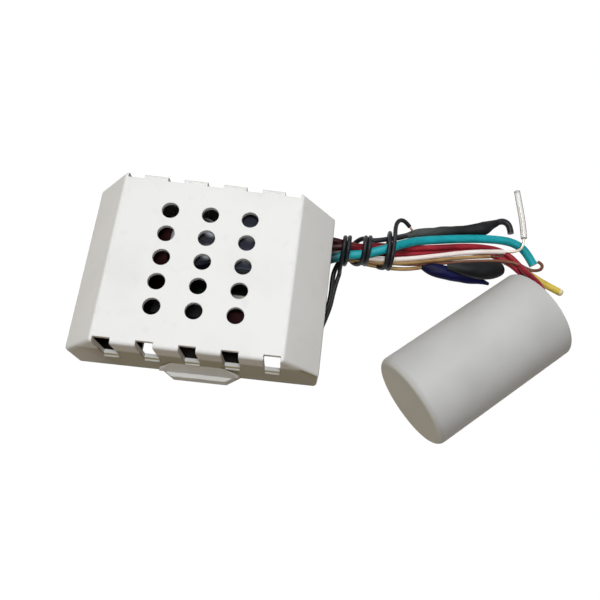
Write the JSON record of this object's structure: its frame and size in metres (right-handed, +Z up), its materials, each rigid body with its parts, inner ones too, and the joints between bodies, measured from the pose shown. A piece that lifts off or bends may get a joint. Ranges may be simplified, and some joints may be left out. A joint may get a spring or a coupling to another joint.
{
  "type": "fan remote receiver module",
  "caption": "Vented two-part plastic receiver box with snap latches, its bundle of coloured leads and antenna wire, and an external cylindrical motor capacitor.",
  "frame": {"origin": "centre of the base shell's underside, on the surface that the box rests on", "axes": "+Z up, +X towards the side that the leads leave by, -Y towards the front latch"},
  "size_m": [0.1521, 0.0911, 0.0292],
  "materials": {
    "shell_white": "fine satin moulding, slightly warm",
    "board_green": "solder mask over glass laminate",
    "screw_steel": "zinc plated",
    "relay_case": "moulded, dark blue-black",
    "electrolytic_sleeve": "shrunk sleeve with a bare aluminium top",
    "film_case": "dipped, dark red-brown",
    "chip_case": "moulded epoxy",
    "varistor_coat": "dipped blue coat",
    "fuse_glass": "glass tube with plated caps",
    "plated_metal": "tin plated",
    "resistor_coat": "lacquered",
    "capacitor_case": "smooth moulded grey case",
    "potting_resin": "cast resin",
    "winding_film": "wound metallised film",
    "teal_vinyl": "extruded insulation",
    "red_vinyl": "extruded insulation",
    "black_vinyl": "extruded insulation",
    "white_vinyl": "extruded insulation",
    "yellow_vinyl": "extruded insulation",
    "tan_vinyl": "extruded insulation",
    "brown_vinyl": "extruded insulation",
    "tinned_copper": "tinned strands",
    "clear_vinyl": "milky clear sleeve",
    "black_sleeve": "shrunk sleeve",
    "blue_sleeve": "shrunk sleeve, dark blue"
  },
  "bodies": {
    "receiver": {"base_shell": "shell_white", "circuit_board": "board_green", "board_screws": "screw_steel", "relay": "relay_case", "electrolytic_large": "electrolytic_sleeve", "electrolytic_small": "electrolytic_sleeve", "film_capacitor_1": "film_case", "film_capacitor_2": "film_case", "varistor": "varistor_coat", "fuse": "fuse_glass", "fuse_clips": "plated_metal", "rectifier": "chip_case", "control_chip": "chip_case", "radio_board": "board_green", "radio_crystal": "plated_metal", "resistors": "resistor_coat", "capacitor_can": "capacitor_case", "capacitor_potting": "potting_resin", "capacitor_winding": "winding_film", "teal_wire": "teal_vinyl", "rear_red_lead": "red_vinyl", "front_red_lead": "red_vinyl", "black_lead": "black_vinyl", "white_wire": "white_vinyl", "white_bare_end": "tinned_copper", "clear_sleeve": "clear_vinyl", "yellow_wire": "yellow_vinyl", "long_tan_wire": "tan_vinyl", "short_tan_wire": "tan_vinyl", "brown_wire": "brown_vinyl", "antenna_lead": "black_vinyl", "antenna_wrap": "black_vinyl", "antenna_tail": "black_vinyl", "antenna_tip": "tinned_copper", "splice_sleeve": "black_sleeve", "hook_wire": "black_vinyl", "blue_sleeve": "blue_sleeve", "end_cap": "black_sleeve"},
    "cover": {"cover": "shell_white"}
  },
  "joints": [
    {"name": "cover_lift", "type": "slide", "parent": "receiver", "child": "cover", "axis": [0, 0, 1], "range_m": [0, 0.03]}
  ]
}
